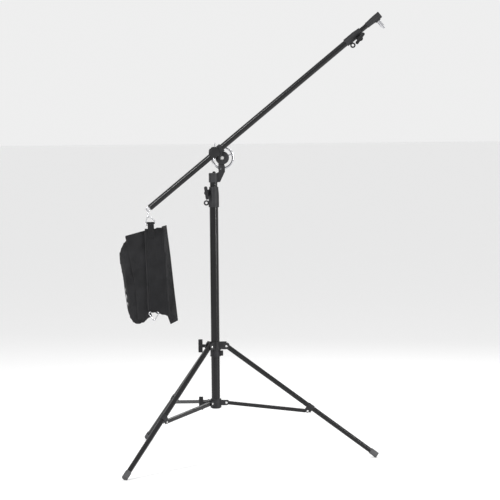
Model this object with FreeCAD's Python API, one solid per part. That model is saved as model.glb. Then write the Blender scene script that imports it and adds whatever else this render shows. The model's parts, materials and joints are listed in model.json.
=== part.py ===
"""Boom light stand: a three-legged stand with one riser, a tilting boom head, a two-section boom
with a 16 mm spigot across its tip, and a saddle sandbag that hangs from the boom's rear eye.

Frame: origin on the floor under the column, +Z up, +X the way the boom points, millimetres.
Legs stand at 0, 120 and 240 degrees. Every node is written to parts/NODE.step."""

import FreeCAD, Part

import math
import os

V = FreeCAD.Vector
Y_AXIS = V(0, 1, 0)
Z_AXIS = V(0, 0, 1)

# ---------------------------------------------------------------- driving dimensions
LEG_AZIMUTHS = (0, 120, 240)
FIT = 0.06                      # radial clearance of a running fit

COLUMN_R, COLUMN_WALL = 17.5, 1.5
COLUMN_Z0, COLUMN_Z1 = 211.0, 1064.0
RISER_R, RISER_WALL = 15.0, 1.5
RISER_Z0, RISER_Z1 = 248.0, 1144.0

LEG_R, LEG_WALL = 10.0, 1.4
LEG_PIVOT = (45.0, 459.0)       # radius and height of a leg's top pivot
LEG_FOOT = (652.0, 9.0)         # radius and height of the leg's centre line at the foot
LEG_TOP_OVERHANG = 12.0
FOOT_LENGTH, FOOT_R = 34.0, 12.0
BRACE_PIVOT = (43.0, 228.0)     # radius and height of a brace's inner pivot
BRACE_ON_LEG = 422.0            # distance of the brace bracket below the leg's top pivot
BRACE_OFFSET = 20.0             # distance of the bracket's pin from the leg's centre line
BRACE_W, BRACE_H, BRACE_T = 16.0, 14.0, 1.6
PIN_R = 3.0

EAR_T = 3.5
UPPER_EAR_GAP = 2 * LEG_R + 1.0
LOWER_EAR_GAP = BRACE_W + 1.0
HUB_R = 22.5
UPPER_HUB = (442.0, 477.0)
LOWER_HUB = (207.0, 244.0)

WING_LENGTH, WING_THICK, WING_DEPTH = 54.0, 13.0, 17.0
SCREW_R = 4.0

CLAMP_Z0, CLAMP_LENGTH = 1023.0, 82.0

SOCKET_R, SOCKET_Z0, SOCKET_Z1 = 19.5, 1123.0, 1161.0
TILT_X, TILT_Z = 36.0, 1222.0
DISC_R, DISC_T = 27.0, 14.0
TILT_BOLT_R = 5.0
FACE_GAP = 0.3                  # between the two halves of the tilt joint

BOOM_ANGLE = 39.43              # degrees above the horizon at rest
BOOM_OFFSET = 33.4              # boom centre line to tilt axis
BOOM_Y = -17.5
BOOM_R, BOOM_WALL = 12.5, 1.2
BOOM_S0, BOOM_S1 = -351.0, 717.0
INNER_R, INNER_WALL = 10.0, 1.5
INNER_S0, INNER_S1 = -280.0, 806.0
SECTION_S0, SECTION_LENGTH = 677.5, 78.0
ADAPTER_S0, ADAPTER_S1 = 787.0, 856.5
STUD_S, STUD_R = 834.0, 7.94
STUD_TOP, STUD_SHOULDER, STUD_END = -9.0, 44.0, 54.0
STUD_ROOT_R, STUD_ROOT_END = 7.2, 18.0

EYE_S, EYE_R, EYE_ROD = -362.0, 8.0, 2.5
LINK_ROD, LINK_HALF_W, LINK_LENGTH = 2.0, 7.0, 30.0
RING_ROD, RING_BASE, RING_HEIGHT = 2.3, 52.0, 32.0
HANG_GAP = 0.3

# Outlines of the hanging bag's pieces in the XZ plane, each with where it starts and ends in Y.
WEB_OUTLINE = [(-282, 939), (-200, 947), (-181, 580), (-271, 601)]
WEB_Y = (-29.5, -17.5)
LEFT_POUCH = [(-292, 930), (-345, 908), (-378, 872), (-392, 825), (-372, 700), (-352, 578),
              (-319, 541), (-263, 572), (-277, 900)]
RIGHT_POUCH = [(-266, 926), (-207, 934), (-184, 700), (-180, 602), (-192, 588), (-253, 604)]
POUCH_Y = (-12.0, 32.0)
POUCH_EDGE = 12.0
LEFT_FLAP = [(-361, 910), (-284, 934), (-273, 606), (-266, 580), (-314, 566), (-322, 703)]
LEFT_FLAP_Y = (-17.2, -13.2)
RIGHT_FLAP = [(-198.5, 950), (-194, 952), (-166, 690), (-152, 562), (-163, 546), (-170, 620),
              (-176, 700)]
RIGHT_FLAP_Y = (-17.0, 30.0)
TOP_RING_LEAN = 18.0            # degrees
LOW_RING = (-246.0, 572.0)      # X and Z of the lower ring's point

SIN_B, COS_B = (f(math.radians(BOOM_ANGLE)) for f in (math.sin, math.cos))
BOOM_DIR = V(COS_B, 0, SIN_B)
BOOM_DOWN = V(SIN_B, 0, -COS_B)
TILT = V(TILT_X, 0, TILT_Z)


# ---------------------------------------------------------------- small shape helpers
def rod(r, start, end):
    """A solid cylinder between two points."""
    return Part.makeCylinder(r, (end - start).Length, start, end - start)


def pipe(r_out, r_in, start, end):
    """A tube between two points."""
    return rod(r_out, start, end).cut(rod(r_in, start, end))


def block(x, y, z):
    """A box from three (low, high) pairs."""
    return Part.makeBox(x[1] - x[0], y[1] - y[0], z[1] - z[0], V(x[0], y[0], z[0]))


def fuse(first, *others):
    """One clean solid out of several that overlap."""
    return first.multiFuse(list(others)).removeSplitter()


def prism_y(points, y0, y1):
    """A polygon in the XZ plane, drawn out from y0 to y1."""
    corners = [V(x, y0, z) for x, z in points]
    return Part.Face(Part.makePolygon(corners + corners[:1])).extrude(V(0, y1 - y0, 0))


def revolve(profile, centre, direction):
    """A (radius, height) polygon turned about an axis."""
    corners = [V(r, 0, h) for r, h in profile]
    solid = Part.Face(Part.makePolygon(corners + corners[:1])).revolve(V(), Z_AXIS, 360)
    return placed(solid, centre, direction)


def placed(shape, origin, direction, about=0.0):
    """A shape built along +Z, turned about +Z, then laid along a direction at an origin."""
    turned = shape.copy()
    turned.rotate(V(), Z_AXIS, about)
    turned.Placement = FreeCAD.Placement(origin, FreeCAD.Rotation(Z_AXIS, direction)).multiply(
        turned.Placement)
    return turned


def around(shape, azimuth):
    """A copy turned about the column."""
    turned = shape.copy()
    turned.rotate(V(), Z_AXIS, azimuth)
    return turned


def rounded(solid, radius, chosen):
    """Fillets the edges that pass a test, or returns the solid as it is if that can't be done."""
    edges = [e for e in solid.Edges if chosen(e)]
    try:
        return solid.makeFillet(radius, edges)
    except Exception:
        return solid


def largest(shape):
    """The biggest solid of a shape that a cut left in pieces."""
    return max(shape.Solids, key=lambda piece: piece.Volume)


def straight_along(axis):
    """A test for straight edges along an axis."""
    def test(edge):
        span = edge.Vertexes[-1].Point - edge.Vertexes[0].Point
        return span.Length > 1 and abs(span.normalize().dot(axis)) > 0.999
    return test


def swept(wire_edges, radius):
    """A round rod along a path."""
    path = Part.Wire(wire_edges)
    start = wire_edges[0]
    point = start.valueAt(start.FirstParameter)
    tangent = start.tangentAt(start.FirstParameter)
    ring = Part.Wire([Part.Circle(point, tangent, radius).toShape()])
    return path.makePipeShell([ring], True, False)


def boom_point(s, down=0.0, y=BOOM_Y):
    """A point by its distance along the boom from the head and its distance below the centre line."""
    foot = TILT - BOOM_DOWN * BOOM_OFFSET
    return V(foot.x, y, foot.z) + BOOM_DIR * s + BOOM_DOWN * down


# ---------------------------------------------------------------- hardware used more than once
def wing_knob(neck, hub_r=9.0, reach=0.0):
    """A T-shaped clamp knob along +Z: a wing on a hub, and a screw reaching back below zero."""
    hub = Part.makeCone(hub_r - 1.5, hub_r, neck + WING_DEPTH * 0.55)
    wing = Part.makeBox(WING_LENGTH, WING_THICK, WING_DEPTH,
                        V(-WING_LENGTH / 2, -WING_THICK / 2, neck))
    wing = rounded(wing, WING_THICK / 2 - 0.6, straight_along(Z_AXIS))
    wing = rounded(wing, 3.0, lambda e: abs(e.CenterOfMass.z - neck - WING_DEPTH) < 0.1)
    waist_z = neck + WING_DEPTH
    scoop = 22.0
    for side in (-1, 1):
        cutter = Part.makeCylinder(scoop, WING_LENGTH, V(-WING_LENGTH / 2, side * (scoop + 4.6), 0),
                                   V(1, 0, 0))
        cutter.translate(V(0, 0, waist_z + scoop * 0.2))
        ends = Part.makeBox(WING_LENGTH * 0.62, 40, 60, V(-WING_LENGTH * 0.31, -20, neck - 1))
        wing = wing.cut(cutter.common(ends))
    knob = fuse(hub, wing)
    if reach:
        knob = fuse(knob, Part.makeCylinder(SCREW_R, reach + 2, V(0, 0, -reach)))
    return knob


def hexagon(across, height):
    """A hexagonal prism along +Z."""
    corner = across / 2 / math.cos(math.pi / 6)
    points = [V(corner * math.cos(i * math.pi / 3), corner * math.sin(i * math.pi / 3), 0)
              for i in range(6)]
    return Part.Face(Part.makePolygon(points + points[:1])).extrude(V(0, 0, height))


def pinch_clamp(outer_r, inner_r, length, knob_side):
    """A split collar along +Z from zero: it grips the outer tube below and pinches the inner one above.

    Its ears point along -X and its bolt runs along Y, with the knob at the knob_side end.
    Returns the body, the bolt with its nut, and the place and direction of the knob."""
    wall, top_wall = 3.6, 3.4
    seat = length * 0.5
    bolt_z, lug_z = length * 0.71, length * 0.21
    bolt_x, ear_x, ear_y = -(outer_r + 10.5), -(outer_r + 18.5), 10.0
    body = revolve([(outer_r, 0), (outer_r + wall, 0), (outer_r + wall, length * 0.62),
                    (inner_r + top_wall, length), (inner_r + FIT, length), (inner_r + FIT, seat),
                    (outer_r, seat)], V(), Z_AXIS)
    hollow = Part.makeCylinder(inner_r + FIT, length).fuse(Part.makeCylinder(outer_r, seat))
    ears = block((ear_x, -outer_r * 0.5), (-ear_y, ear_y), (bolt_z - 13, bolt_z + 13))
    ears = rounded(ears, 9.0, lambda e: straight_along(Y_AXIS)(e) and e.CenterOfMass.x < bolt_x)
    lug_x = -(outer_r + 12.5)
    lug = rod(11, V(lug_x, -3, lug_z), V(lug_x, 3, lug_z))
    bridge = block((lug_x, -outer_r * 0.6), (-3, 3), (lug_z - 6, lug_z + 6))
    body = fuse(body, ears.cut(hollow), lug, bridge.cut(hollow))
    body = body.cut(rod(5, V(lug_x, -4, lug_z), V(lug_x, 4, lug_z)))
    body = body.cut(block((ear_x - 5, 0), (-1.2, 1.2), (seat + 3, length + 1)))
    body = body.cut(rod(3.1, V(bolt_x, -ear_y - 1, bolt_z), V(bolt_x, ear_y + 1, bolt_z)))
    far, near = -knob_side * ear_y, knob_side * ear_y
    bolt = rod(3.0, V(bolt_x, far - knob_side * 5, bolt_z), V(bolt_x, near, bolt_z))
    nut = placed(hexagon(10.0, 5.0), V(bolt_x, min(far, far - knob_side * 5), bolt_z), Y_AXIS)
    return body, fuse(bolt, nut), V(bolt_x, near, bolt_z), V(0, knob_side, 0)


# ---------------------------------------------------------------- column, collars and riser
def column_parts():
    floor, top = V(0, 0, COLUMN_Z0), V(0, 0, COLUMN_Z1)
    tube = pipe(COLUMN_R, COLUMN_R - COLUMN_WALL, floor, top)
    inside = COLUMN_R - COLUMN_WALL
    cap = fuse(rod(inside, V(0, 0, COLUMN_Z0 - 2), V(0, 0, COLUMN_Z0 + 18)),
               rod(COLUMN_R, V(0, 0, COLUMN_Z0 - 7), V(0, 0, COLUMN_Z0)))
    cap = rounded(cap, 2.5, lambda e: abs(e.CenterOfMass.z - COLUMN_Z0 + 7) < 0.1)
    return {"column_tube": tube, "column_end_cap": cap}


def clevis_ears(gap, pivot, reach, height):
    """The two ears of one clevis at azimuth zero, with their pin hole."""
    ears = []
    for side in (-1, 1):
        y0 = side * gap / 2
        y1 = side * (gap / 2 + EAR_T)
        low, high = min(y0, y1), max(y0, y1)
        plate = block((COLUMN_R - 2, pivot[0]), (low, high), height)
        nose = rod(reach, V(pivot[0], low, pivot[1]), V(pivot[0], high, pivot[1]))
        nose = nose.common(block((0, 200), (-50, 50), height))
        ears.append(fuse(plate, nose))
    return ears


def collar(hub, gap, pivot, reach, height):
    """A three-way collar on the column, with a boss for its clamp screw at azimuth 180."""
    middle = (hub[0] + hub[1]) / 2
    body = rod(HUB_R, V(0, 0, hub[0]), V(0, 0, hub[1]))
    body = rounded(body, 1.5, lambda e: e.Length > 60 and e.Curve.TypeId == "Part::GeomCircle")
    ears = [around(ear, azimuth) for azimuth in LEG_AZIMUTHS
            for ear in clevis_ears(gap, pivot, reach, height)]
    boss = rod(9.5, V(-33, 0, middle), V(-14, 0, middle))
    body = fuse(body, boss, *ears)
    body = body.cut(rod(COLUMN_R + FIT, V(0, 0, hub[0] - 5), V(0, 0, hub[1] + 5)))
    return body.cut(rod(SCREW_R + FIT, V(-40, 0, middle), V(-10, 0, middle))), middle


def rivet_heads(gap, pivot):
    """Domed rivet heads on the outer faces of every ear."""
    heads = []
    face = gap / 2 + EAR_T
    for azimuth in LEG_AZIMUTHS:
        for side in (-1, 1):
            head = Part.makeSphere(6.0, V(pivot[0], side * (face - 3.2), pivot[1]))
            low, high = sorted((side * face, side * (face + 5)))
            head = head.common(block((0, 100), (low, high), (pivot[1] - 9, pivot[1] + 9)))
            heads.append(around(head, azimuth))
    return Part.makeCompound(heads)


def collar_parts():
    upper, upper_mid = collar(UPPER_HUB, UPPER_EAR_GAP, LEG_PIVOT, 12.5,
                              (LEG_PIVOT[1] - 13, LEG_PIVOT[1] + 17))
    lower, lower_mid = collar(LOWER_HUB, LOWER_EAR_GAP, BRACE_PIVOT, 10.5,
                              (BRACE_PIVOT[1] - 10.5, BRACE_PIVOT[1] + 9.5))
    reach = LOWER_EAR_GAP / 2 + EAR_T
    through = [around(rod(PIN_R, V(BRACE_PIVOT[0], -reach, BRACE_PIVOT[1]),
                          V(BRACE_PIVOT[0], reach, BRACE_PIVOT[1])), a) for a in LEG_AZIMUTHS]
    lower = lower.cut(Part.makeCompound(through))
    sleeve_z0, sleeve_z1 = UPPER_HUB[0] - 25, UPPER_HUB[0] - 0.2
    sleeve = pipe(COLUMN_R + 3.0, COLUMN_R + FIT, V(0, 0, sleeve_z0), V(0, 0, sleeve_z1))
    lip = pipe(COLUMN_R + 3.8, COLUMN_R + FIT, V(0, 0, sleeve_z0), V(0, 0, sleeve_z0 + 4))
    tab = block((COLUMN_R + 1, COLUMN_R + 14), (-5, 5), (sleeve_z0 + 2, sleeve_z0 + 23))
    tab = rounded(tab, 2.0, straight_along(Y_AXIS))
    pins = Part.makeCompound([pin.Solids[0] for pin in through])
    knobs = {}
    for name, middle in (("upper_collar_knob", upper_mid), ("lower_collar_knob", lower_mid)):
        knob = wing_knob(neck=17.0, hub_r=7.5, reach=17.0)
        knobs[name] = placed(knob, V(-38 + 3, 0, middle), V(-1, 0, 0))
    return {
        "upper_collar": upper,
        "upper_collar_sleeve": fuse(sleeve, lip, tab),
        "upper_collar_rivets": rivet_heads(UPPER_EAR_GAP, LEG_PIVOT),
        "lower_collar": lower,
        "lower_collar_pins": pins,
        "lower_collar_rivets": rivet_heads(LOWER_EAR_GAP, BRACE_PIVOT),
        **knobs,
    }


def riser_parts():
    low, high = V(0, 0, RISER_Z0), V(0, 0, RISER_Z1)
    tube = pipe(RISER_R, RISER_R - RISER_WALL, low, high)
    bore = COLUMN_R - COLUMN_WALL
    bush = fuse(rod(bore - FIT, V(0, 0, RISER_Z0 - 6), low),
                rod(RISER_R - RISER_WALL, low, V(0, 0, RISER_Z0 + 24)))
    plug = rod(RISER_R - RISER_WALL, V(0, 0, RISER_Z1 - 30), V(0, 0, RISER_Z1 - 1))
    body, bolt, knob_at, knob_dir = pinch_clamp(COLUMN_R, RISER_R, CLAMP_LENGTH, -1)
    for shape in (body, bolt):
        shape.translate(V(0, 0, CLAMP_Z0))
    wing_turn = 98.0
    knob = placed(wing_knob(neck=12.0, hub_r=9.5), knob_at + V(0, 0, CLAMP_Z0), knob_dir, wing_turn)
    return {"riser_tube": tube, "riser_guide_bush": bush, "riser_top_plug": plug,
            "column_clamp": body, "column_clamp_bolt": bolt, "column_clamp_knob": knob}


# ---------------------------------------------------------------- legs and braces
def leg_frame():
    """The leg's top pivot, its direction, its inner normal and its length, at azimuth zero."""
    top = V(LEG_PIVOT[0], 0, LEG_PIVOT[1])
    foot = V(LEG_FOOT[0], 0, LEG_FOOT[1])
    along = (foot - top).normalize()
    inward = V(along.z, 0, -along.x)
    return top, along, inward, (foot - top).Length


def leg_parts():
    top, along, inward, length = leg_frame()
    bracket_pin = top + along * BRACE_ON_LEG + inward * BRACE_OFFSET
    side = V(0, 1, 0)
    upper_end = top - along * LEG_TOP_OVERHANG
    lower_end = top + along * (length - 12)
    tube = pipe(LEG_R, LEG_R - LEG_WALL, upper_end, lower_end)
    pin_half = UPPER_EAR_GAP / 2 - 0.3
    tube = tube.cut(rod(PIN_R, top - side * 30, top + side * 30))
    top_pin = rod(PIN_R, top - side * pin_half, top + side * pin_half)

    sole = lower_end + along * 14
    foot = fuse(rod(LEG_R - LEG_WALL, lower_end - along * 16, lower_end),
                rod(FOOT_R, lower_end - along * (FOOT_LENGTH - 14), sole))
    foot = foot.cut(pipe(LEG_R, LEG_R - LEG_WALL, lower_end - along * 60, lower_end))
    foot = rounded(foot, 2.0, lambda e: (e.CenterOfMass - sole).Length < 0.5)
    foot = foot.cut(block((0, 900), (-50, 50), (-60, 0)))

    grip = top + along * BRACE_ON_LEG
    half = 13.0
    saddle = pipe(LEG_R + 2.0, LEG_R, grip - along * half, grip + along * half)
    ear_gap = BRACE_W + 1.0
    ears = []
    for sign in (-1, 1):
        low, high = sorted((sign * ear_gap / 2, sign * (ear_gap / 2 + 2.2)))
        ear = Part.makeBox(2 * half, high - low, BRACE_OFFSET, V(-half, low, 0))
        ear.Placement = FreeCAD.Placement(
            grip, FreeCAD.Rotation(along, V(0, 1, 0), inward, "XZY"))
        nose = rod(7.0, bracket_pin + side * low, bracket_pin + side * high)
        ears.append(fuse(ear, nose))
    bracket = fuse(saddle, *ears).cut(rod(LEG_R, grip - along * 40, grip + along * 40))
    reach = ear_gap / 2 + 2.2
    bracket = bracket.cut(rod(PIN_R, bracket_pin - side * 20, bracket_pin + side * 20))
    hinge_pin = rod(PIN_R, bracket_pin - side * reach, bracket_pin + side * reach)
    heads = []
    for sign in (-1, 1):
        low, high = sorted((sign * reach, sign * (reach + 2.4)))
        cap = Part.makeSphere(5.4, bracket_pin + side * (sign * (reach - 3.0)))
        heads.append(cap.common(block((0, 900), (low, high), (0, 400))))
    pins = Part.makeCompound([top_pin, fuse(hinge_pin, *heads)])
    parts = {"leg_tube": tube, "leg_foot": foot, "leg_bracket": bracket, "leg_pins": pins,
             "brace": brace(bracket_pin)}
    return {f"{name}_{i + 1}": around(shape, azimuth)
            for i, azimuth in enumerate(LEG_AZIMUTHS) for name, shape in parts.items()}


def brace(outer):
    """A channel section with its open side down, on a pin at each end."""
    inner = V(BRACE_PIVOT[0], 0, BRACE_PIVOT[1])
    length = (outer - inner).Length
    end_r = 6.0
    stretch = [(0, -BRACE_H / 2), (length, -BRACE_H / 2), (length, BRACE_H / 2),
               (0, BRACE_H / 2)]
    solid = prism_y(stretch, -BRACE_W / 2, BRACE_W / 2)
    solid = rounded(solid, 2.5, lambda e: straight_along(V(1, 0, 0))(e) and e.CenterOfMass.z > 0)
    inside = block((-20, length + 20), (-BRACE_W / 2 + BRACE_T, BRACE_W / 2 - BRACE_T),
                   (-BRACE_H, BRACE_H / 2 - BRACE_T))
    solid = solid.cut(inside)
    cheeks = []
    for x in (0, length):
        for sign in (-1, 1):
            low, high = sorted((sign * BRACE_W / 2, sign * (BRACE_W / 2 - BRACE_T)))
            cheeks.append(rod(end_r, V(x, low, 0), V(x, high, 0)))
    trim = 9.0
    for x, step in ((0, 1), (length, -1)):
        low, high = sorted((x - 20 * step, x + trim * step))
        solid = solid.cut(block((low, high), (-BRACE_W, BRACE_W), (-BRACE_H, BRACE_H)))
        arm_low, arm_high = sorted((x, x + (trim + 3) * step))
        for sign in (-1, 1):
            y0, y1 = sorted((sign * BRACE_W / 2, sign * (BRACE_W / 2 - BRACE_T)))
            cheeks.append(block((arm_low, arm_high), (y0, y1), (-end_r, end_r)))
    solid = fuse(solid, *cheeks)
    for x in (0, length):
        solid = solid.cut(rod(PIN_R + FIT, V(x, -30, 0), V(x, 30, 0)))
    drop = math.degrees(math.atan2(inner.z - outer.z, outer.x - inner.x))
    solid.Placement = FreeCAD.Placement(inner, FreeCAD.Rotation(Y_AXIS, drop))
    return solid


# ---------------------------------------------------------------- boom head
def head_parts():
    casting = rod(SOCKET_R, V(0, 0, SOCKET_Z0), V(0, 0, SOCKET_Z1))
    casting = rounded(casting, 1.5, lambda e: e.Length > 60)
    outline = [(10, SOCKET_Z0 + 2), (26, SOCKET_Z0 + 1), (46, TILT_Z - 56), (46, TILT_Z - 36),
               (41, TILT_Z - 18), (20, TILT_Z - 18), (20.5, SOCKET_Z1 + 4), (10, SOCKET_Z1 - 2)]
    neck = prism_y(outline, -6, DISC_T)
    neck = neck.cut(Part.makeCylinder(DISC_R + 1, 30, V(TILT_X, -30, TILT_Z), Y_AXIS))
    neck = rounded(neck, 2.0, lambda e: straight_along(Y_AXIS)(e) and e.CenterOfMass.x > 44)
    disc = rod(DISC_R, V(TILT_X, 0, TILT_Z), V(TILT_X, DISC_T, TILT_Z))
    disc = rounded(disc, 1.5, lambda e: e.CenterOfMass.y > DISC_T - 0.1)
    eye = (29.7, TILT_Z - 42)
    eyelet = rod(10.5, V(eye[0], -6, eye[1]), V(eye[0], DISC_T, eye[1]))
    eyelet = eyelet.cut(Part.makeCylinder(DISC_R + 1, 30, V(TILT_X, -30, TILT_Z), Y_AXIS))
    casting = fuse(casting, neck, disc, eyelet)
    casting = casting.cut(rod(4.6, V(eye[0], -30, eye[1]), V(eye[0], 30, eye[1])))
    seat_top = RISER_Z1 + 0.5
    casting = casting.cut(rod(RISER_R + FIT, V(0, 0, SOCKET_Z0 - 5), V(0, 0, seat_top)))
    casting = casting.cut(rod(TILT_BOLT_R + FIT, V(TILT_X, -50, TILT_Z), V(TILT_X, 50, TILT_Z)))
    screw_z = SOCKET_Z0 + 17
    casting = fuse(casting, rod(9, V(0, RISER_R + 2, screw_z), V(0, 27, screw_z))
                   .cut(rod(RISER_R + FIT, V(0, 0, SOCKET_Z0 - 5), V(0, 0, seat_top))))
    casting = casting.cut(rod(SCREW_R + FIT, V(0, 10, screw_z), V(0, 40, screw_z)))
    screw_start = 28.0
    lock = placed(wing_knob(neck=9.0, hub_r=7.5, reach=screw_start - RISER_R - 0.3),
                  V(0, screw_start, screw_z), Y_AXIS, 90)

    bolt = fuse(rod(TILT_BOLT_R, V(TILT_X, -DISC_T - 1, TILT_Z), V(TILT_X, DISC_T + 13, TILT_Z)),
                placed(Part.makeCone(8.5, 6.5, 3.0), V(TILT_X, -DISC_T, TILT_Z), V(0, -1, 0)))
    wheel_y = DISC_T + 11.0
    wheel_r, rim_r = 42.5, 5.0
    rim = Part.makeTorus(wheel_r, rim_r, V(TILT_X, wheel_y, TILT_Z), Y_AXIS)
    hub = revolve([(TILT_BOLT_R + FIT, 0.8), (13, 0.8), (13, 4), (10, 9), (10, 16), (8, 18),
                   (TILT_BOLT_R + FIT, 18)], V(TILT_X, DISC_T, TILT_Z), Y_AXIS)
    spokes = []
    for angle in (20, 140, 260):
        a = math.radians(angle)
        direction = V(math.cos(a), 0, math.sin(a))
        centre = V(TILT_X, wheel_y, TILT_Z)
        spokes.append(rod(4.0, centre + direction * 8, centre + direction * wheel_r))
    wheel = fuse(hub, rim, *spokes)
    wheel = wheel.cut(rod(TILT_BOLT_R + FIT, V(TILT_X, 0, TILT_Z), V(TILT_X, 60, TILT_Z)))
    return {"head_casting": casting, "head_lock_knob": lock, "tilt_bolt": bolt,
            "tilt_handwheel": wheel}


def boom_clamp_parts():
    half = 27.0
    liner_r = BOOM_R + 1.4
    start, end = boom_point(-half), boom_point(half)
    disc = rod(DISC_R, V(TILT_X, -DISC_T, TILT_Z), V(TILT_X, -FACE_GAP, TILT_Z))
    disc = rounded(disc, 2.0, lambda e: e.CenterOfMass.y < -DISC_T + 0.1)
    sleeve = rod(-BOOM_Y - FACE_GAP, start, end)
    rib = block((21.5, 36.0), (-38.0, -4.0), (TILT_Z - 4, TILT_Z + 48))
    rib = rounded(rib, 3.0, straight_along(Y_AXIS))
    knob_at = V(5.5, 0, TILT_Z + 23)
    boss = rod(15.0, knob_at + V(0, -37, 0), knob_at + V(0, BOOM_Y, 0))
    body = fuse(disc, sleeve, rib, boss)
    body = body.cut(rod(liner_r, boom_point(-60), boom_point(60)))
    body = body.cut(rod(TILT_BOLT_R, V(TILT_X, -50, TILT_Z), V(TILT_X, 50, TILT_Z)))
    body = body.cut(placed(Part.makeCone(8.5, 6.5, 3.0), V(TILT_X, -DISC_T, TILT_Z), V(0, -1, 0)))
    body = body.cut(rod(9.0, V(TILT_X, -60, TILT_Z), V(TILT_X, -DISC_T, TILT_Z)))
    screw_tip = BOOM_Y - BOOM_R + 1.5
    body = body.cut(rod(SCREW_R + FIT, knob_at + V(0, -60, 0), knob_at + V(0, screw_tip, 0)))
    liner = pipe(liner_r, BOOM_R + FIT, start, end)
    liner = liner.cut(rod(SCREW_R + FIT, knob_at + V(0, -60, 0), knob_at + V(0, BOOM_Y, 0)))

    hub_y = -38.0
    grip = revolve([(0, 0), (14, 0), (17, 2), (21.5, 3), (22.5, 5), (22.5, 14), (20.5, 17),
                    (10, 18.5), (0, 18.5)], V(), Z_AXIS)
    lobes, lobe_r = 8, 5.0
    for i in range(lobes):
        a = 2 * math.pi * i / lobes
        grip = grip.cut(Part.makeCylinder(lobe_r, 30, V(26 * math.cos(a), 26 * math.sin(a), -3)))
    bar_r, bar_half, bar_h = 2.4, 38.0, 10.5
    bar = rod(bar_r, V(-bar_half, 0, bar_h), V(bar_half, 0, bar_h))
    grip = grip.cut(bar)
    screw = Part.makeCylinder(SCREW_R, 8, V(0, 0, -6))
    bar_turn = 85.0
    knob = placed(fuse(grip, screw), knob_at + V(0, hub_y, 0), V(0, -1, 0), bar_turn)
    bar = placed(bar, knob_at + V(0, hub_y, 0), V(0, -1, 0), bar_turn)
    return {"boom_clamp": body, "boom_clamp_liner": liner, "boom_clamp_knob": knob,
            "boom_clamp_bar": bar}


# ---------------------------------------------------------------- boom
def on_boom(shape, s):
    """Carries a shape built along +Z with its ears along -X onto the boom, ears down."""
    turn = FreeCAD.Rotation(BOOM_DOWN * -1, V(0, -1, 0), BOOM_DIR, "ZXY")
    moved = shape.copy()
    moved.Placement = FreeCAD.Placement(boom_point(s), turn).multiply(moved.Placement)
    return moved


def boom_parts():
    tube = pipe(BOOM_R, BOOM_R - BOOM_WALL, boom_point(BOOM_S0), boom_point(BOOM_S1))
    bore = BOOM_R - BOOM_WALL
    plug = fuse(rod(bore, boom_point(BOOM_S0), boom_point(BOOM_S0 + 22)),
                rod(BOOM_R, boom_point(BOOM_S0 - 3), boom_point(BOOM_S0)))
    stem_r = 3.2
    plug = plug.cut(rod(stem_r, boom_point(BOOM_S0 - 5), boom_point(BOOM_S0 + 14)))
    plug = plug.cut(Part.makeTorus(EYE_R, EYE_ROD, boom_point(EYE_S), Y_AXIS))
    eye = Part.makeTorus(EYE_R, EYE_ROD, boom_point(EYE_S), Y_AXIS)
    stem = rod(stem_r, boom_point(EYE_S + EYE_R), boom_point(BOOM_S0 + 14))
    body, bolt, knob_at, knob_dir = pinch_clamp(BOOM_R, INNER_R, SECTION_LENGTH, 1)
    knob = placed(wing_knob(neck=9.0, hub_r=11.5), knob_at, knob_dir, 105)
    inner = pipe(INNER_R, INNER_R - INNER_WALL, boom_point(INNER_S0), boom_point(INNER_S1))
    bush = fuse(rod(bore - FIT, boom_point(INNER_S0 - 6), boom_point(INNER_S0)),
                rod(INNER_R - INNER_WALL, boom_point(INNER_S0), boom_point(INNER_S0 + 20)))
    clamp_body = on_boom(body, SECTION_S0).cut(rod(BOOM_R, boom_point(BOOM_S0), boom_point(BOOM_S1)))
    return {"boom_outer_tube": tube, "boom_end_plug": plug, "boom_eye": fuse(eye, stem),
            "boom_section_clamp": clamp_body,
            "boom_section_bolt": on_boom(bolt, SECTION_S0),
            "boom_section_knob": on_boom(knob, SECTION_S0),
            "boom_inner_tube": inner, "boom_inner_bush": bush}


def tip_parts():
    length = ADAPTER_S1 - ADAPTER_S0
    mouth = INNER_S1 - ADAPTER_S0
    profile = [(INNER_R, 0), (11.8, 0), (12.2, 4), (11.6, 6), (13.6, length * 0.5),
               (14.2, length - 3), (13.2, length), (0, length), (0, mouth), (INNER_R, mouth)]
    body = revolve(profile, boom_point(ADAPTER_S0), BOOM_DIR)
    stud_foot = boom_point(STUD_S)
    boss = rod(12.0, stud_foot, boom_point(STUD_S, 17.0))
    body = fuse(body, boss)
    body = body.cut(rod(INNER_R, boom_point(ADAPTER_S0 - 5), boom_point(INNER_S1)))
    body = body.cut(rod(STUD_ROOT_R, boom_point(STUD_S, STUD_TOP), boom_point(STUD_S, 60)))
    root = rod(STUD_ROOT_R, boom_point(STUD_S, STUD_TOP), boom_point(STUD_S, STUD_ROOT_END + 2))
    shank = rod(STUD_R, boom_point(STUD_S, STUD_ROOT_END), boom_point(STUD_S, STUD_SHOULDER))
    shank = rounded(shank, 1.0, lambda e: (e.CenterOfMass - boom_point(STUD_S, STUD_SHOULDER)).Length < 0.1)
    tip = rod(4.7, boom_point(STUD_S, STUD_SHOULDER - 2), boom_point(STUD_S, STUD_END))
    stud = fuse(root, shank, tip)
    side = V(0, 1, 0)
    screw_at = boom_point(STUD_S, 4.0)
    screw_r = 3.0
    screw = fuse(rod(screw_r, screw_at + side * STUD_ROOT_R, screw_at + side * 16),
                 placed(hexagon(9.0, 5.0), screw_at + side * 16, side))
    body = body.cut(rod(screw_r, screw_at + side * 2, screw_at + side * 30))
    return {"tip_adapter": body, "tip_stud": stud, "tip_stud_screw": screw}


# ---------------------------------------------------------------- sandbag and its hanger
def line(a, b):
    return Part.LineSegment(a, b).toShape()


def arc(a, middle, b):
    return Part.Arc(a, middle, b).toShape()


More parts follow.
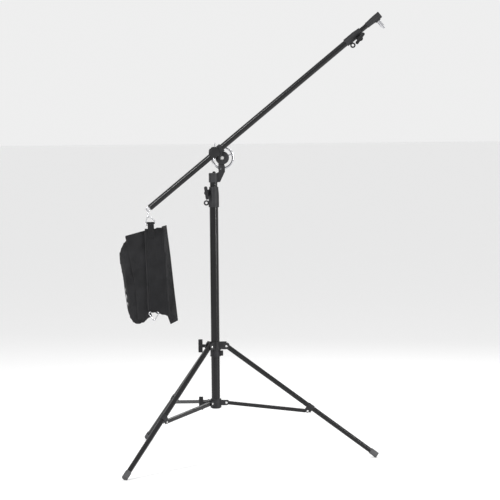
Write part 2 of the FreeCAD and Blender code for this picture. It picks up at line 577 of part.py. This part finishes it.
def hang_points():
    """The centre of the link's top rod and bottom rod."""
    eye = boom_point(EYE_S)
    top = V(eye.x, eye.y, eye.z - EYE_R + EYE_ROD + LINK_ROD + HANG_GAP)
    return top, top - Z_AXIS * LINK_LENGTH


def hook_link():
    """An oval wire link in the plane across the boom."""
    top, bottom = hang_points()
    w = LINK_HALF_W
    side, up = V(0, w, 0), V(0, 0, w)
    upper, lower = top - up, bottom + up
    return swept([line(lower - side, upper - side), arc(upper - side, top, upper + side),
                  line(upper + side, lower + side), arc(lower + side, bottom, lower - side)],
                 LINK_ROD)


def delta_ring(apex, axis, across):
    """A triangular wire ring whose small arc at the top goes round the point apex."""
    bend = LINK_ROD + HANG_GAP + RING_ROD
    corner_r = 6.0
    half = RING_BASE / 2 - RING_ROD
    base = apex + axis * (RING_HEIGHT - RING_ROD)
    slope = math.atan2(half - bend, RING_HEIGHT - RING_ROD)
    normal = across * math.cos(slope) - axis * math.sin(slope)
    normal_left = across * -math.cos(slope) - axis * math.sin(slope)
    run = across * math.sin(slope) + axis * math.cos(slope)
    run_left = across * -math.sin(slope) + axis * math.cos(slope)
    turn = math.tan((math.pi / 2 + slope) / 2) * corner_r

    def wire_side(n, r, out):
        start = apex + n * bend
        length = (base - start).dot(axis) / r.dot(axis)
        corner = start + r * length
        before, after = corner - r * turn, corner - out * turn
        centre = before - n * corner_r
        middle = centre + (n + axis).normalize() * corner_r
        return start, before, middle, after

    right = wire_side(normal, run, across)
    left = wire_side(normal_left, run_left, across * -1)
    return swept([line(right[0], right[1]), arc(right[1], right[2], right[3]),
                  line(right[3], left[3]), arc(left[3], left[2], left[1]),
                  line(left[1], left[0]), arc(left[0], apex - axis * bend, right[0])], RING_ROD)


def bag_parts():
    web = rounded(prism_y(WEB_OUTLINE, *WEB_Y), 4.0, lambda e: e.Length > 200)
    parts = {"hook_link": hook_link(), "bag_web": web}
    for name, outline in (("left", LEFT_POUCH), ("right", RIGHT_POUCH)):
        pouch = prism_y(outline, *POUCH_Y)
        parts[f"bag_pouch_{name}"] = rounded(
            pouch, POUCH_EDGE, lambda e: min(abs(e.CenterOfMass.y - y) for y in POUCH_Y) < 0.2)
    parts["bag_flap_left"] = prism_y(LEFT_FLAP, *LEFT_FLAP_Y)
    parts["bag_flap_right"] = prism_y(RIGHT_FLAP, *RIGHT_FLAP_Y)

    _, bottom = hang_points()
    lean = math.radians(TOP_RING_LEAN)
    down = V(math.sin(lean), 0, -math.cos(lean))
    across = V(math.cos(lean), 0, math.sin(lean))
    top_ring = delta_ring(bottom, down, across)
    base = bottom + down * (RING_HEIGHT - RING_ROD)
    half, outer = 17.0, RING_ROD + 3.0
    wrap = rod(outer, base - across * half, base + across * half)
    tail = block((base.x - half + 2, base.x + half - 2), (base.y - outer, base.y - outer + 3.0),
                 (base.z - 30, base.z - 2))
    core = rod(RING_ROD + 1.6, base - across * 60, base + across * 60)
    parts["bag_top_ring"] = top_ring
    parts["bag_strap"] = largest(fuse(wrap, tail).cut(core).cut(top_ring).cut(web))

    low = V(LOW_RING[0], WEB_Y[0] - RING_ROD - 0.3, LOW_RING[1])
    low_ring = delta_ring(low, Z_AXIS, V(1, 0, 0))
    bar = low + Z_AXIS * (RING_HEIGHT - RING_ROD)
    keeper = rod(RING_ROD + 2.2, bar - V(14, 0, 0), bar + V(14, 0, 0))
    parts["bag_bottom_ring"] = low_ring
    parts["bag_bottom_strap"] = largest(keeper.cut(low_ring).cut(web))
    return parts


def main():
    os.makedirs("parts", exist_ok=True)
    nodes = {}
    for make in (column_parts, collar_parts, riser_parts, leg_parts, head_parts,
                 boom_clamp_parts, boom_parts, tip_parts, bag_parts):
        nodes.update(make())
    for name, shape in nodes.items():
        shape.exportStep(f"parts/{name}.step")
        print(f"{name}: {len(shape.Solids)} solids, valid {shape.isValid()}, "
              f"{shape.Volume / 1000:.1f} cm3")


main()
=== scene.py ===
"""Looks for the boom light stand: finishes, the sewn sandbag, floor, lights and camera."""
import json
import math

import bmesh
import bpy
from mathutils import Matrix, Vector


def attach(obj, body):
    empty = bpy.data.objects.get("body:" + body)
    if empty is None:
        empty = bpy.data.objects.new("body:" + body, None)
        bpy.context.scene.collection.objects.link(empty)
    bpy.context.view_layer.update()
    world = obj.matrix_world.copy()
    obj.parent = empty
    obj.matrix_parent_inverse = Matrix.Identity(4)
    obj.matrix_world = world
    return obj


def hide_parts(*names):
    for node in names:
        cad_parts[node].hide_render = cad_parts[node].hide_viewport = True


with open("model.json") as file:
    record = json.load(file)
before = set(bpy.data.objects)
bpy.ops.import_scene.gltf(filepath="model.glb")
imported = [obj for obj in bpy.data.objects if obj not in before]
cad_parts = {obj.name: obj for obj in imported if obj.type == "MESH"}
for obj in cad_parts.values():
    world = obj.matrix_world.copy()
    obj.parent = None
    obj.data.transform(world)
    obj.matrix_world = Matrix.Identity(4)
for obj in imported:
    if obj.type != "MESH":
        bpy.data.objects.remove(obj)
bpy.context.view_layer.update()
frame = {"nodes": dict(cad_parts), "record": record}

# ---------------------------------------------------------------- the bag, metres
# Outlines in the XZ plane, as hung, and where each piece starts and ends in Y.
WEB = [(-.282, .939), (-.200, .947), (-.181, .580), (-.271, .601)]
WEB_Y = (-.0295, -.0175)
LEFT_POUCH = [(-.292, .930), (-.345, .908), (-.378, .872), (-.392, .825), (-.372, .700),
              (-.352, .578), (-.319, .541), (-.263, .572), (-.277, .900)]
RIGHT_POUCH = [(-.266, .926), (-.207, .934), (-.184, .700), (-.180, .602), (-.192, .588),
               (-.253, .604)]
POUCH_Y = (-.012, .032)
LEFT_FLAP_OUTER = [(-.361, .910), (-.322, .703), (-.314, .566)]
LEFT_FLAP_INNER = [(-.284, .934), (-.273, .606), (-.266, .580)]
LEFT_FLAP_Y = -.0152
RIGHT_FLAP_FRONT = [(-.1985, .9480), (-.1890, .7650), (-.1800, .5830), (-.1680, .5500)]
RIGHT_FLAP_BACK = [(-.1955, .9510), (-.1800, .8250), (-.1665, .6900), (-.1525, .5610)]
RIGHT_FLAP_Y = (-.0165, .0290)
WEB_ROUND = .004                # how far back from a corner its rounding starts
LEFT_ROUND = .030
RIGHT_ROUND = .020

PAD_STEP = .005                 # the grid a pad is built on
RIM_HALF = .0022                # half a pad's thickness at its sewn rim
RIM_REACH = .030                # how far in from its rim a pad gets to full thickness
CROWN_ROOM = .86                # the fullest crown, as a share of the room in Y
CREASE = .08                    # depth of the creases, as a share of half the room in Y
VOXEL = .004
SWELL_PRESSURE = 3.0
SWELL_FRAMES = 16

PIPING_INSET = .0075
PIPING_R = .0014
STITCH_R = .0007
STITCH_LIFT = .0016             # how far in front of its line a stitch lies
STITCH_SHARE = .6               # a stitch's share of its step; the rest is the gap
FACE_GAP = .0012                # from the web's front face to a line drawn on it

FLAP_TUCK = .012                # how far a flap reaches in behind the web
FLAP_THICK = .0024
FLAP_WAVE = .0008
FLAP_STITCHES = 40
WEBBING_THICK = .0018
LOOP_INSET = .001               # how far a loop's edges stay inside the frame's strap
STRAP_HALF = .013
STRAP_BAR = (-.2555, -.0228)    # X and Y of the top ring's bar
STRAP_Z = (.9575, .951, .941, .902)     # at the bar, its bend, where it meets the web, its end
STRAP_BEND_Y = .002             # how far the bend lies in front of the bar
STRAP_LEAN = .08                # sideways drift for each metre down
WEB_STITCHES = 70

# ---------------------------------------------------------------- surface detail
GRAIN_DEPTH = .0004
WEAVE_DEPTH = .0006
WEAVE_RELIEF = .8
COAT_ROUGHNESS = .08
SHEEN = .05

# ---------------------------------------------------------------- stage and camera
FLOOR_REACH = 200
WORLD_STRENGTH = 0.86
SENSOR, LENS = 36, 160.1        # millimetres


# ---------------------------------------------------------------- materials
class Nodes:
    """A material being built, with short ways to add and join its nodes."""

    def __init__(self, name):
        self.mat = bpy.data.materials.new(name)
        self.mat.use_nodes = True
        self.tree = self.mat.node_tree
        self.shader = self.tree.nodes["Principled BSDF"]
        self.coords = self.add("ShaderNodeTexCoord")

    def add(self, kind, **settings):
        """Adds a node; each setting is one of its properties or of its inputs."""
        node = self.tree.nodes.new(kind)
        for key, value in settings.items():
            if hasattr(node, key):
                setattr(node, key, value)
            else:
                node.inputs[key].default_value = value
        return node

    def join(self, output, target):
        self.tree.links.new(output, target)

    def noise(self, scale, detail=4.0):
        node = self.add("ShaderNodeTexNoise", Scale=scale, Detail=detail)
        self.join(self.coords.outputs["Object"], node.inputs["Vector"])
        return node.outputs["Fac"]

    def ramp(self, value, low, high, start=0.35, end=0.65):
        node = self.add("ShaderNodeValToRGB")
        node.color_ramp.elements[0].position = start
        node.color_ramp.elements[0].color = (*low, 1)
        node.color_ramp.elements[1].position = end
        node.color_ramp.elements[1].color = (*high, 1)
        self.join(value, node.inputs["Fac"])
        return node.outputs["Color"]

    def between(self, value, low, high):
        node = self.add("ShaderNodeMapRange")
        node.inputs["To Min"].default_value = low
        node.inputs["To Max"].default_value = high
        self.join(value, node.inputs["Value"])
        return node.outputs["Result"]

    def bump(self, height, strength, distance):
        node = self.add("ShaderNodeBump", Strength=strength, Distance=distance)
        self.join(height, node.inputs["Height"])
        self.join(node.outputs["Normal"], self.shader.inputs["Normal"])


def finish(name, low, high, roughness, metallic=0.0, coat=0.0, grain=900.0, bump=0.15,
           specular=0.25, patch=14.0):
    """A painted, cast, moulded or plated surface: colour patches, uneven gloss and fine grain."""
    made = Nodes(name)
    made.join(made.ramp(made.noise(patch), low, high), made.shader.inputs["Base Color"])
    made.join(made.between(made.noise(patch * 3), *roughness), made.shader.inputs["Roughness"])
    made.shader.inputs["Metallic"].default_value = metallic
    made.shader.inputs["Coat Weight"].default_value = coat
    made.shader.inputs["Coat Roughness"].default_value = COAT_ROUGHNESS
    made.shader.inputs["Specular IOR Level"].default_value = specular
    made.bump(made.noise(grain, 2.0), bump, GRAIN_DEPTH)
    return made.mat


def woven(name, low, high, threads, turn=45.0):
    """Cloth: two crossing sets of threads as relief and colour, over slow colour patches."""
    made = Nodes(name)
    spin = made.add("ShaderNodeMapping")
    spin.inputs["Rotation"].default_value = (math.radians(90), 0, math.radians(turn))
    made.join(made.coords.outputs["Object"], spin.inputs["Vector"])
    sets = []
    for direction in ("X", "Y"):
        wave = made.add("ShaderNodeTexWave", wave_type="BANDS", bands_direction=direction,
                        Scale=threads, Distortion=0.6)
        made.join(spin.outputs["Vector"], wave.inputs["Vector"])
        sets.append(wave.outputs["Fac"])
    weave = made.add("ShaderNodeMath", operation="MULTIPLY")
    made.join(sets[0], weave.inputs[0])
    made.join(sets[1], weave.inputs[1])
    wear = made.add("ShaderNodeMath", operation="MULTIPLY_ADD")
    made.join(made.noise(18.0), wear.inputs[0])
    wear.inputs[1].default_value = 0.8
    made.join(weave.outputs[0], wear.inputs[2])
    made.join(made.ramp(wear.outputs[0], low, high, 0.3, 1.1), made.shader.inputs["Base Color"])
    made.join(made.between(made.noise(40.0), 0.72, 0.92), made.shader.inputs["Roughness"])
    made.shader.inputs["Sheen Weight"].default_value = SHEEN
    made.shader.inputs["Sheen Roughness"].default_value = 0.5
    made.shader.inputs["Specular IOR Level"].default_value = 0.15
    made.bump(weave.outputs[0], WEAVE_RELIEF, WEAVE_DEPTH)
    return made.mat


MATERIALS = {
    "painted_tube": finish("painted_tube", (.002, .002, .0025), (.004, .004, .0045), (.16, .26),
                           coat=0.12, grain=320, bump=0.05, specular=0.3),
    "casting": finish("casting", (.012, .012, .013), (.026, .026, .028), (.40, .56), grain=1500,
                      bump=0.35),
    "knob": finish("knob", (.007, .007, .0075), (.015, .015, .016), (.32, .48), grain=2200,
                   bump=0.22),
    "chrome": finish("chrome", (.46, .46, .48), (.60, .60, .62), (.08, .18), metallic=1.0,
                     grain=260, bump=0.03),
    "zinc": finish("zinc", (.50, .50, .50), (.68, .68, .67), (.26, .42), metallic=1.0,
                   grain=1400, bump=0.12),
    "rubber": finish("rubber", (.055, .055, .058), (.095, .095, .098), (.70, .88), grain=1800,
                     bump=0.4),
    "plastic": finish("plastic", (.012, .012, .012), (.022, .022, .022), (.40, .55)),
    "webbing": woven("webbing", (.004, .004, .0045), (.026, .026, .028), 420, turn=0.0),
    "fabric": woven("fabric", (.004, .004, .0045), (.030, .030, .032), 560),
    "thread": finish("thread", (.018, .018, .019), (.030, .030, .032), (.6, .8), grain=3000,
                     bump=0.4),
}


def paint_frame():
    """Gives every CAD node the finish of its record slot."""
    for part in frame["record"]["subparts"]:
        node = frame["nodes"][part["node"]]
        for slot in node.material_slots:
            slot.link = "OBJECT"
            slot.material = MATERIALS[part["material_slot"]]


# ---------------------------------------------------------------- the bag
def new_object(name, data):
    """An object in the scene with this name and data."""
    made = bpy.data.objects.new(name, data)
    bpy.context.scene.collection.objects.link(made)
    return made


def new_piece(name, mesh, slot):
    """A smooth-shaded piece with the finish of its slot."""
    piece = new_object(name, mesh)
    mesh.materials.append(MATERIALS[slot])
    for face in mesh.polygons:
        face.use_smooth = True
    return piece


def to_data(name, mesh):
    """Mesh data of this name from a mesh being built, which is then freed."""
    data = bpy.data.meshes.new(name)
    mesh.to_mesh(data)
    mesh.free()
    return data


def inside(outline, x, z):
    """True if a point is inside a polygon."""
    hit = False
    for (x1, z1), (x2, z2) in zip(outline, outline[1:] + outline[:1]):
        if (z1 > z) != (z2 > z) and x < (x2 - x1) * (z - z1) / (z2 - z1) + x1:
            hit = not hit
    return hit


def rim(outline, rounding, steps=5):
    """A polygon with its corners rounded from this far back on each side."""
    points = []
    ring = [Vector(p) for p in outline]
    for before, corner, after in zip(ring[-1:] + ring[:-1], ring, ring[1:] + ring[:1]):
        back, onward = before - corner, after - corner
        start = corner + back.normalized() * min(rounding, back.length * .45)
        end = corner + onward.normalized() * min(rounding, onward.length * .45)
        for i in range(steps + 1):
            t = i / steps
            points.append(tuple(start.lerp(corner, t).lerp(corner.lerp(end, t), t)))
    return points


def edge_gap(outline, x, z):
    """The distance from a point to a polygon's nearest side."""
    best = 1.0
    point = Vector((x, z))
    for a, b in zip(outline, outline[1:] + outline[:1]):
        start, span = Vector(a), Vector(b) - Vector(a)
        along = max(0.0, min(1.0, (point - start).dot(span) / span.length_squared))
        best = min(best, (point - start - span * along).length)
    return best


def crowned(name, outline, y_range, fullness, rounding):
    """A closed pad over an outline: fullest in its middle, thin at its sewn rim."""
    shape = rim(outline, rounding)
    xs, zs = [p[0] for p in shape], [p[1] for p in shape]
    middle, half = sum(y_range) / 2, (y_range[1] - y_range[0]) / 2
    mesh = bmesh.new()
    cells = {}
    columns = int((max(xs) - min(xs)) / PAD_STEP)
    rows = int((max(zs) - min(zs)) / PAD_STEP)

    def corner(i, k, side):
        key = (i, k, side)
        if key in cells:
            return cells[key]
        x, z = min(xs) + i * PAD_STEP, min(zs) + k * PAD_STEP
        deep = min(1.0, edge_gap(shape, x, z) / RIM_REACH) if inside(shape, x, z) else 0.0
        crown = math.sqrt(1 - (1 - deep) ** 2) * fullness
        fold = math.sin(61 * z + 23 * x) + 0.6 * math.sin(127 * z - 49 * x)
        crease = CREASE * half * deep * fold
        y = middle + crease + side * (RIM_HALF + crown * (half * CROWN_ROOM - RIM_HALF))
        cells[key] = mesh.verts.new((x, y, z))
        return cells[key]

    kept = {(i, k) for i in range(columns) for k in range(rows)
            if inside(shape, min(xs) + (i + 0.5) * PAD_STEP, min(zs) + (k + 0.5) * PAD_STEP)}
    for i, k in kept:
        for side in (-1, 1):
            loop = [corner(i, k, side), corner(i + 1, k, side), corner(i + 1, k + 1, side),
                    corner(i, k + 1, side)]
            mesh.faces.new(loop if side < 0 else loop[::-1])
        for di, dk, a, b in ((-1, 0, (0, 1), (0, 0)), (1, 0, (1, 0), (1, 1)),
                             (0, -1, (0, 0), (1, 0)), (0, 1, (1, 1), (0, 1))):
            if (i + di, k + dk) not in kept:
                ends = [(i + a[0], k + a[1]), (i + b[0], k + b[1])]
                mesh.faces.new((corner(*ends[1], -1), corner(*ends[0], -1),
                                corner(*ends[0], 1), corner(*ends[1], 1)))
    bmesh.ops.recalc_face_normals(mesh, faces=mesh.faces)
    return to_data(name, mesh)


def swell(piece, cap):
    """Inflates a closed shell as cloth and limits how far any point moves."""
    remesh = piece.modifiers.new("remesh", "REMESH")
    remesh.mode = "VOXEL"
    remesh.voxel_size = VOXEL
    apply_modifiers(piece)
    before = [v.co.copy() for v in piece.data.vertices]
    cloth = piece.modifiers.new("cloth", "CLOTH")
    cloth.settings.use_pressure = True
    cloth.settings.uniform_pressure_force = SWELL_PRESSURE
    cloth.settings.effector_weights.gravity = 0
    cloth.settings.tension_stiffness = 12
    cloth.settings.bending_stiffness = 0.15
    cloth.point_cache.frame_start = 1
    cloth.point_cache.frame_end = SWELL_FRAMES
    for step in range(1, SWELL_FRAMES + 1):
        bpy.context.scene.frame_set(step)
    apply_modifiers(piece)
    bpy.context.scene.frame_set(1)
    for vertex, old in zip(piece.data.vertices, before):
        move = vertex.co - old
        if move.length > cap:
            vertex.co = old + move.normalized() * cap


def apply_modifiers(piece):
    """Bakes a piece's modifiers into its mesh."""
    graph = bpy.context.evaluated_depsgraph_get()
    mesh = bpy.data.meshes.new_from_object(piece.evaluated_get(graph))
    piece.modifiers.clear()
    piece.data = mesh
    for face in mesh.polygons:
        face.use_smooth = True


def sewn(name, runs, radius, resolution, closed=False):
    """Round thread on the bag, along one or more runs of points."""
    curve = bpy.data.curves.new(name, "CURVE")
    curve.dimensions = "3D"
    curve.bevel_depth = radius
    curve.bevel_resolution = resolution
    for run in runs:
        spline = curve.splines.new("POLY")
        spline.points.add(len(run) - 1)
        spline.use_cyclic_u = closed
        for target, point in zip(spline.points, run):
            target.co = (*point, 1)
    piece = new_object(name, curve)
    curve.materials.append(MATERIALS["thread"])
    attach(piece, "bag")


def stitches(name, points):
    """A row of short raised stitches along a line of points."""
    lift = Vector((0, -STITCH_LIFT, 0))
    runs = [(a + lift, a.lerp(b, STITCH_SHARE) + lift) for a, b in zip(points, points[1:])]
    sewn(name, runs, STITCH_R, 4)


def piping(name, outline, y, rounding):
    """A bead just inside a pad's rim."""
    middle = sum((Vector(p) for p in outline), Vector((0, 0))) / len(outline)
    points = []
    for point in rim(outline, rounding):
        inward = middle - Vector(point)
        x, z = Vector(point) + inward.normalized() * PIPING_INSET
        points.append(Vector((x, y, z)))
    sewn(name, [points], PIPING_R, 2, closed=True)


def thicken(piece, thickness):
    """Gives a sheet its thickness, half on each side."""
    solid = piece.modifiers.new("thick", "SOLIDIFY")
    solid.thickness = thickness
    solid.offset = 0


def smooth(piece):
    """Subdivides a piece once, for soft outlines."""
    soft = piece.modifiers.new("smooth", "SUBSURF")
    soft.levels = soft.render_levels = 1


def make_pad(name, node, outline, y_range, fullness, rounding, slot, cap):
    """A padded piece: crowned, swollen as cloth, then smoothed."""
    piece = new_piece(name, crowned(name, outline, y_range, fullness, rounding), slot)
    swell(piece, cap)
    smooth(piece)
    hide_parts(node)
    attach(piece, "bag")


def ruled(name, near, far, rows, cols, wave=0.0):
    """A sheet between two edges, each a function of a share from 0 to 1 of its run."""
    mesh = bmesh.new()
    grid = []
    for r in range(rows + 1):
        t = r / rows
        a, b = near(t), far(t)
        line = []
        for c in range(cols + 1):
            u = c / cols
            point = a.lerp(b, u)
            across = (b - a).cross(Vector((0, 0, 1))).normalized()
            lift = wave * math.sin(math.pi * u) * math.sin(2.5 * math.pi * t + 1.9 * u)
            line.append(mesh.verts.new(point + across * lift))
        grid.append(line)
    for upper, lower in zip(grid, grid[1:]):
        for c in range(cols):
            mesh.faces.new((upper[c], upper[c + 1], lower[c + 1], lower[c]))
    return to_data(name, mesh)


def path(points):
    """A function for the point at a share of the way down a list of corners."""
    def at(t):
        place = t * (len(points) - 1)
        i = min(int(place), len(points) - 2)
        return Vector(points[i]).lerp(Vector(points[i + 1]), place - i)
    return at


def make_flap(name, node, near, far):
    """A hanging flap between two edges, with a row of stitches beside each."""
    outer, inner = path(near), path(far)
    data = ruled(name, outer, inner, 60, 14, FLAP_WAVE)
    piece = new_piece(name, data, "fabric")
    thicken(piece, FLAP_THICK)
    smooth(piece)
    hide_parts(node)
    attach(piece, "bag")
    for share, tag in ((0.06, "outer"), (0.94, "inner")):
        steps = [i / FLAP_STITCHES for i in range(FLAP_STITCHES + 1)]
        stitches(f"{name}_stitch_{tag}", [outer(t).lerp(inner(t), share) for t in steps])


def make_strap():
    """The webbing strap from the top ring's bar down onto the web, with its sewn box."""
    top, bend, meet, end = STRAP_Z
    front = WEB_Y[0] - FACE_GAP
    bar = Vector((*STRAP_BAR, top))
    heights = [(bar.y, top), (bar.y - STRAP_BEND_Y, bend), (front, meet), (front, end)]
    near, far = [[Vector((bar.x + side * STRAP_HALF + (top - z) * STRAP_LEAN, y, z))
                  for y, z in heights] for side in (-1, 1)]
    piece = new_piece("top_strap", ruled("top_strap", path(near), path(far), 30, 6), "webbing")
    thicken(piece, WEBBING_THICK)
    smooth(piece)
    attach(piece, "bag")
    box = [near[3].lerp(near[2], 0.1), far[3].lerp(far[2], 0.1), far[3].lerp(far[2], 0.8),
           near[3].lerp(near[2], 0.8)]
    middle = sum(box, Vector()) / 4
    box = [middle + (corner - middle) * 0.8 for corner in box]
    for tag, (a, b) in enumerate(((0, 1), (1, 2), (2, 3), (3, 0), (0, 2), (1, 3))):
        stitches(f"box_stitch_{tag}", [box[a].lerp(box[b], i / 8) for i in range(9)])


def make_loop(name, node):
    """Webbing wrapped round a ring's bar, where the frame has its plain strap."""
    solid = frame["nodes"][node]
    corners = [solid.matrix_world @ Vector(corner) for corner in solid.bound_box]
    low = Vector([min(corner[k] for corner in corners) for k in range(3)])
    high = Vector([max(corner[k] for corner in corners) for k in range(3)])
    radius = min(high.y - low.y, high.z - low.z) / 2
    middle = Vector((0, low.y + radius, high.z - radius))
    radius -= WEBBING_THICK

    def edge(x):
        def at(t):
            angle = 2 * math.pi * t
            return middle + Vector((x, radius * math.cos(angle), radius * math.sin(angle)))
        return at

    data = ruled(name, edge(low.x + LOOP_INSET), edge(high.x - LOOP_INSET), 32, 4)
    piece = new_piece(name, data, "webbing")
    thicken(piece, WEBBING_THICK)
    smooth(piece)
    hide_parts(node)
    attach(piece, "bag")


def make_bag():
    """Every soft piece of the bag, with its piping and stitches."""
    make_strap()
    make_loop("top_loop", "bag_strap")
    make_loop("low_keeper", "bag_bottom_strap")
    make_pad("web_panel", "bag_web", WEB, WEB_Y, 0.7, WEB_ROUND, "webbing", 0.002)
    make_pad("pouch_left", "bag_pouch_left", LEFT_POUCH, POUCH_Y, 0.85, LEFT_ROUND, "fabric",
             0.006)
    make_pad("pouch_right", "bag_pouch_right", RIGHT_POUCH, POUCH_Y, 0.85, RIGHT_ROUND, "fabric",
             0.004)
    middle = sum(POUCH_Y) / 2
    piping("piping_left", LEFT_POUCH, middle, LEFT_ROUND)
    piping("piping_right", RIGHT_POUCH, middle, RIGHT_ROUND)
    piping("web_binding", WEB, sum(WEB_Y) / 2, WEB_ROUND)
    outer = [(x, LEFT_FLAP_Y, z) for x, z in LEFT_FLAP_OUTER]
    inner = [(x + FLAP_TUCK, LEFT_FLAP_Y, z) for x, z in LEFT_FLAP_INNER]
    make_flap("flap_left", "bag_flap_left", outer, inner)
    front = [(x - FLAP_TUCK, RIGHT_FLAP_Y[0], z) for x, z in RIGHT_FLAP_FRONT]
    back = [(x, RIGHT_FLAP_Y[1], z) for x, z in RIGHT_FLAP_BACK]
    make_flap("flap_right", "bag_flap_right", front, back)
    for inset in (0.06, 0.13, 0.87, 0.94):
        top = Vector((*WEB[0], 0)).lerp(Vector((*WEB[1], 0)), inset)
        low = Vector((*WEB[3], 0)).lerp(Vector((*WEB[2], 0)), inset)
        start, end = [Vector((p.x, WEB_Y[0] + FACE_GAP, p.y)) for p in (top, low)]
        points = [start.lerp(end, i / WEB_STITCHES) for i in range(WEB_STITCHES + 1)]
        stitches(f"web_stitch_{int(inset * 100)}", points)


# ---------------------------------------------------------------- floor, light, camera
def make_stage():
    """A wide pale floor under a white world."""
    floor_mesh = bmesh.new()
    bmesh.ops.create_grid(floor_mesh, x_segments=1, y_segments=1, size=FLOOR_REACH)
    floor = new_object("floor", to_data("floor", floor_mesh))
    made = Nodes("floor")
    made.shader.inputs["Base Color"].default_value = (.93, .93, .93, 1)
    made.shader.inputs["Roughness"].default_value = 0.7
    floor.data.materials.append(made.mat)
    world = bpy.data.worlds.new("studio")
    world.use_nodes = True
    world.node_tree.nodes["Background"].inputs[0].default_value = (1, 1, 1, 1)
    world.node_tree.nodes["Background"].inputs[1].default_value = WORLD_STRENGTH
    bpy.context.scene.world = world


def soft_light(name, place, target, size, power):
    """A rectangular softbox that faces a point."""
    lamp = bpy.data.lights.new(name, "AREA")
    lamp.shape = "RECTANGLE"
    lamp.size, lamp.size_y = size
    lamp.energy = power
    light = new_object(name, lamp)
    light.location = place
    light.rotation_euler = (Vector(target) - Vector(place)).to_track_quat("-Z", "Y").to_euler()


def make_camera():
    """The camera: 9 m away, a little above the middle of the stand, with a slight roll."""
    height, distance, turn = 1.335, 9.0, math.radians(2.67)
    yaw, pitch, roll = math.radians(0.92), math.radians(3.10), math.radians(-0.56)
    forward = Vector((math.sin(yaw) * math.cos(pitch), math.cos(yaw) * math.cos(pitch),
                      -math.sin(pitch)))
    right = Vector((math.cos(yaw), -math.sin(yaw), 0))
    up = right.cross(forward)
    rolled_right = right * math.cos(roll) + up * math.sin(roll)
    rolled_up = up * math.cos(roll) - right * math.sin(roll)
    basis = Matrix((rolled_right, rolled_up, -forward)).transposed().to_4x4()
    place = Matrix.Translation((0, -distance, height)) @ basis
    data = bpy.data.cameras.new("camera")
    data.sensor_width = SENSOR
    data.lens = LENS
    camera = new_object("camera", data)
    camera.matrix_world = Matrix.Rotation(turn, 4, "Z") @ place
    bpy.context.scene.camera = camera


paint_frame()
make_bag()
make_stage()
soft_light("key", (-2.6, -3.4, 3.2), (0, 0, 0.9), (0.5, 2.6), 120)
soft_light("fill", (3.4, -2.6, 1.8), (0, 0, 0.9), (0.3, 2.6), 80)
soft_light("back", (0.8, 3.2, 3.0), (0, 0, 1.0), (2.0, 1.0), 40)
make_camera()
bpy.context.scene.view_settings.view_transform = "Standard"
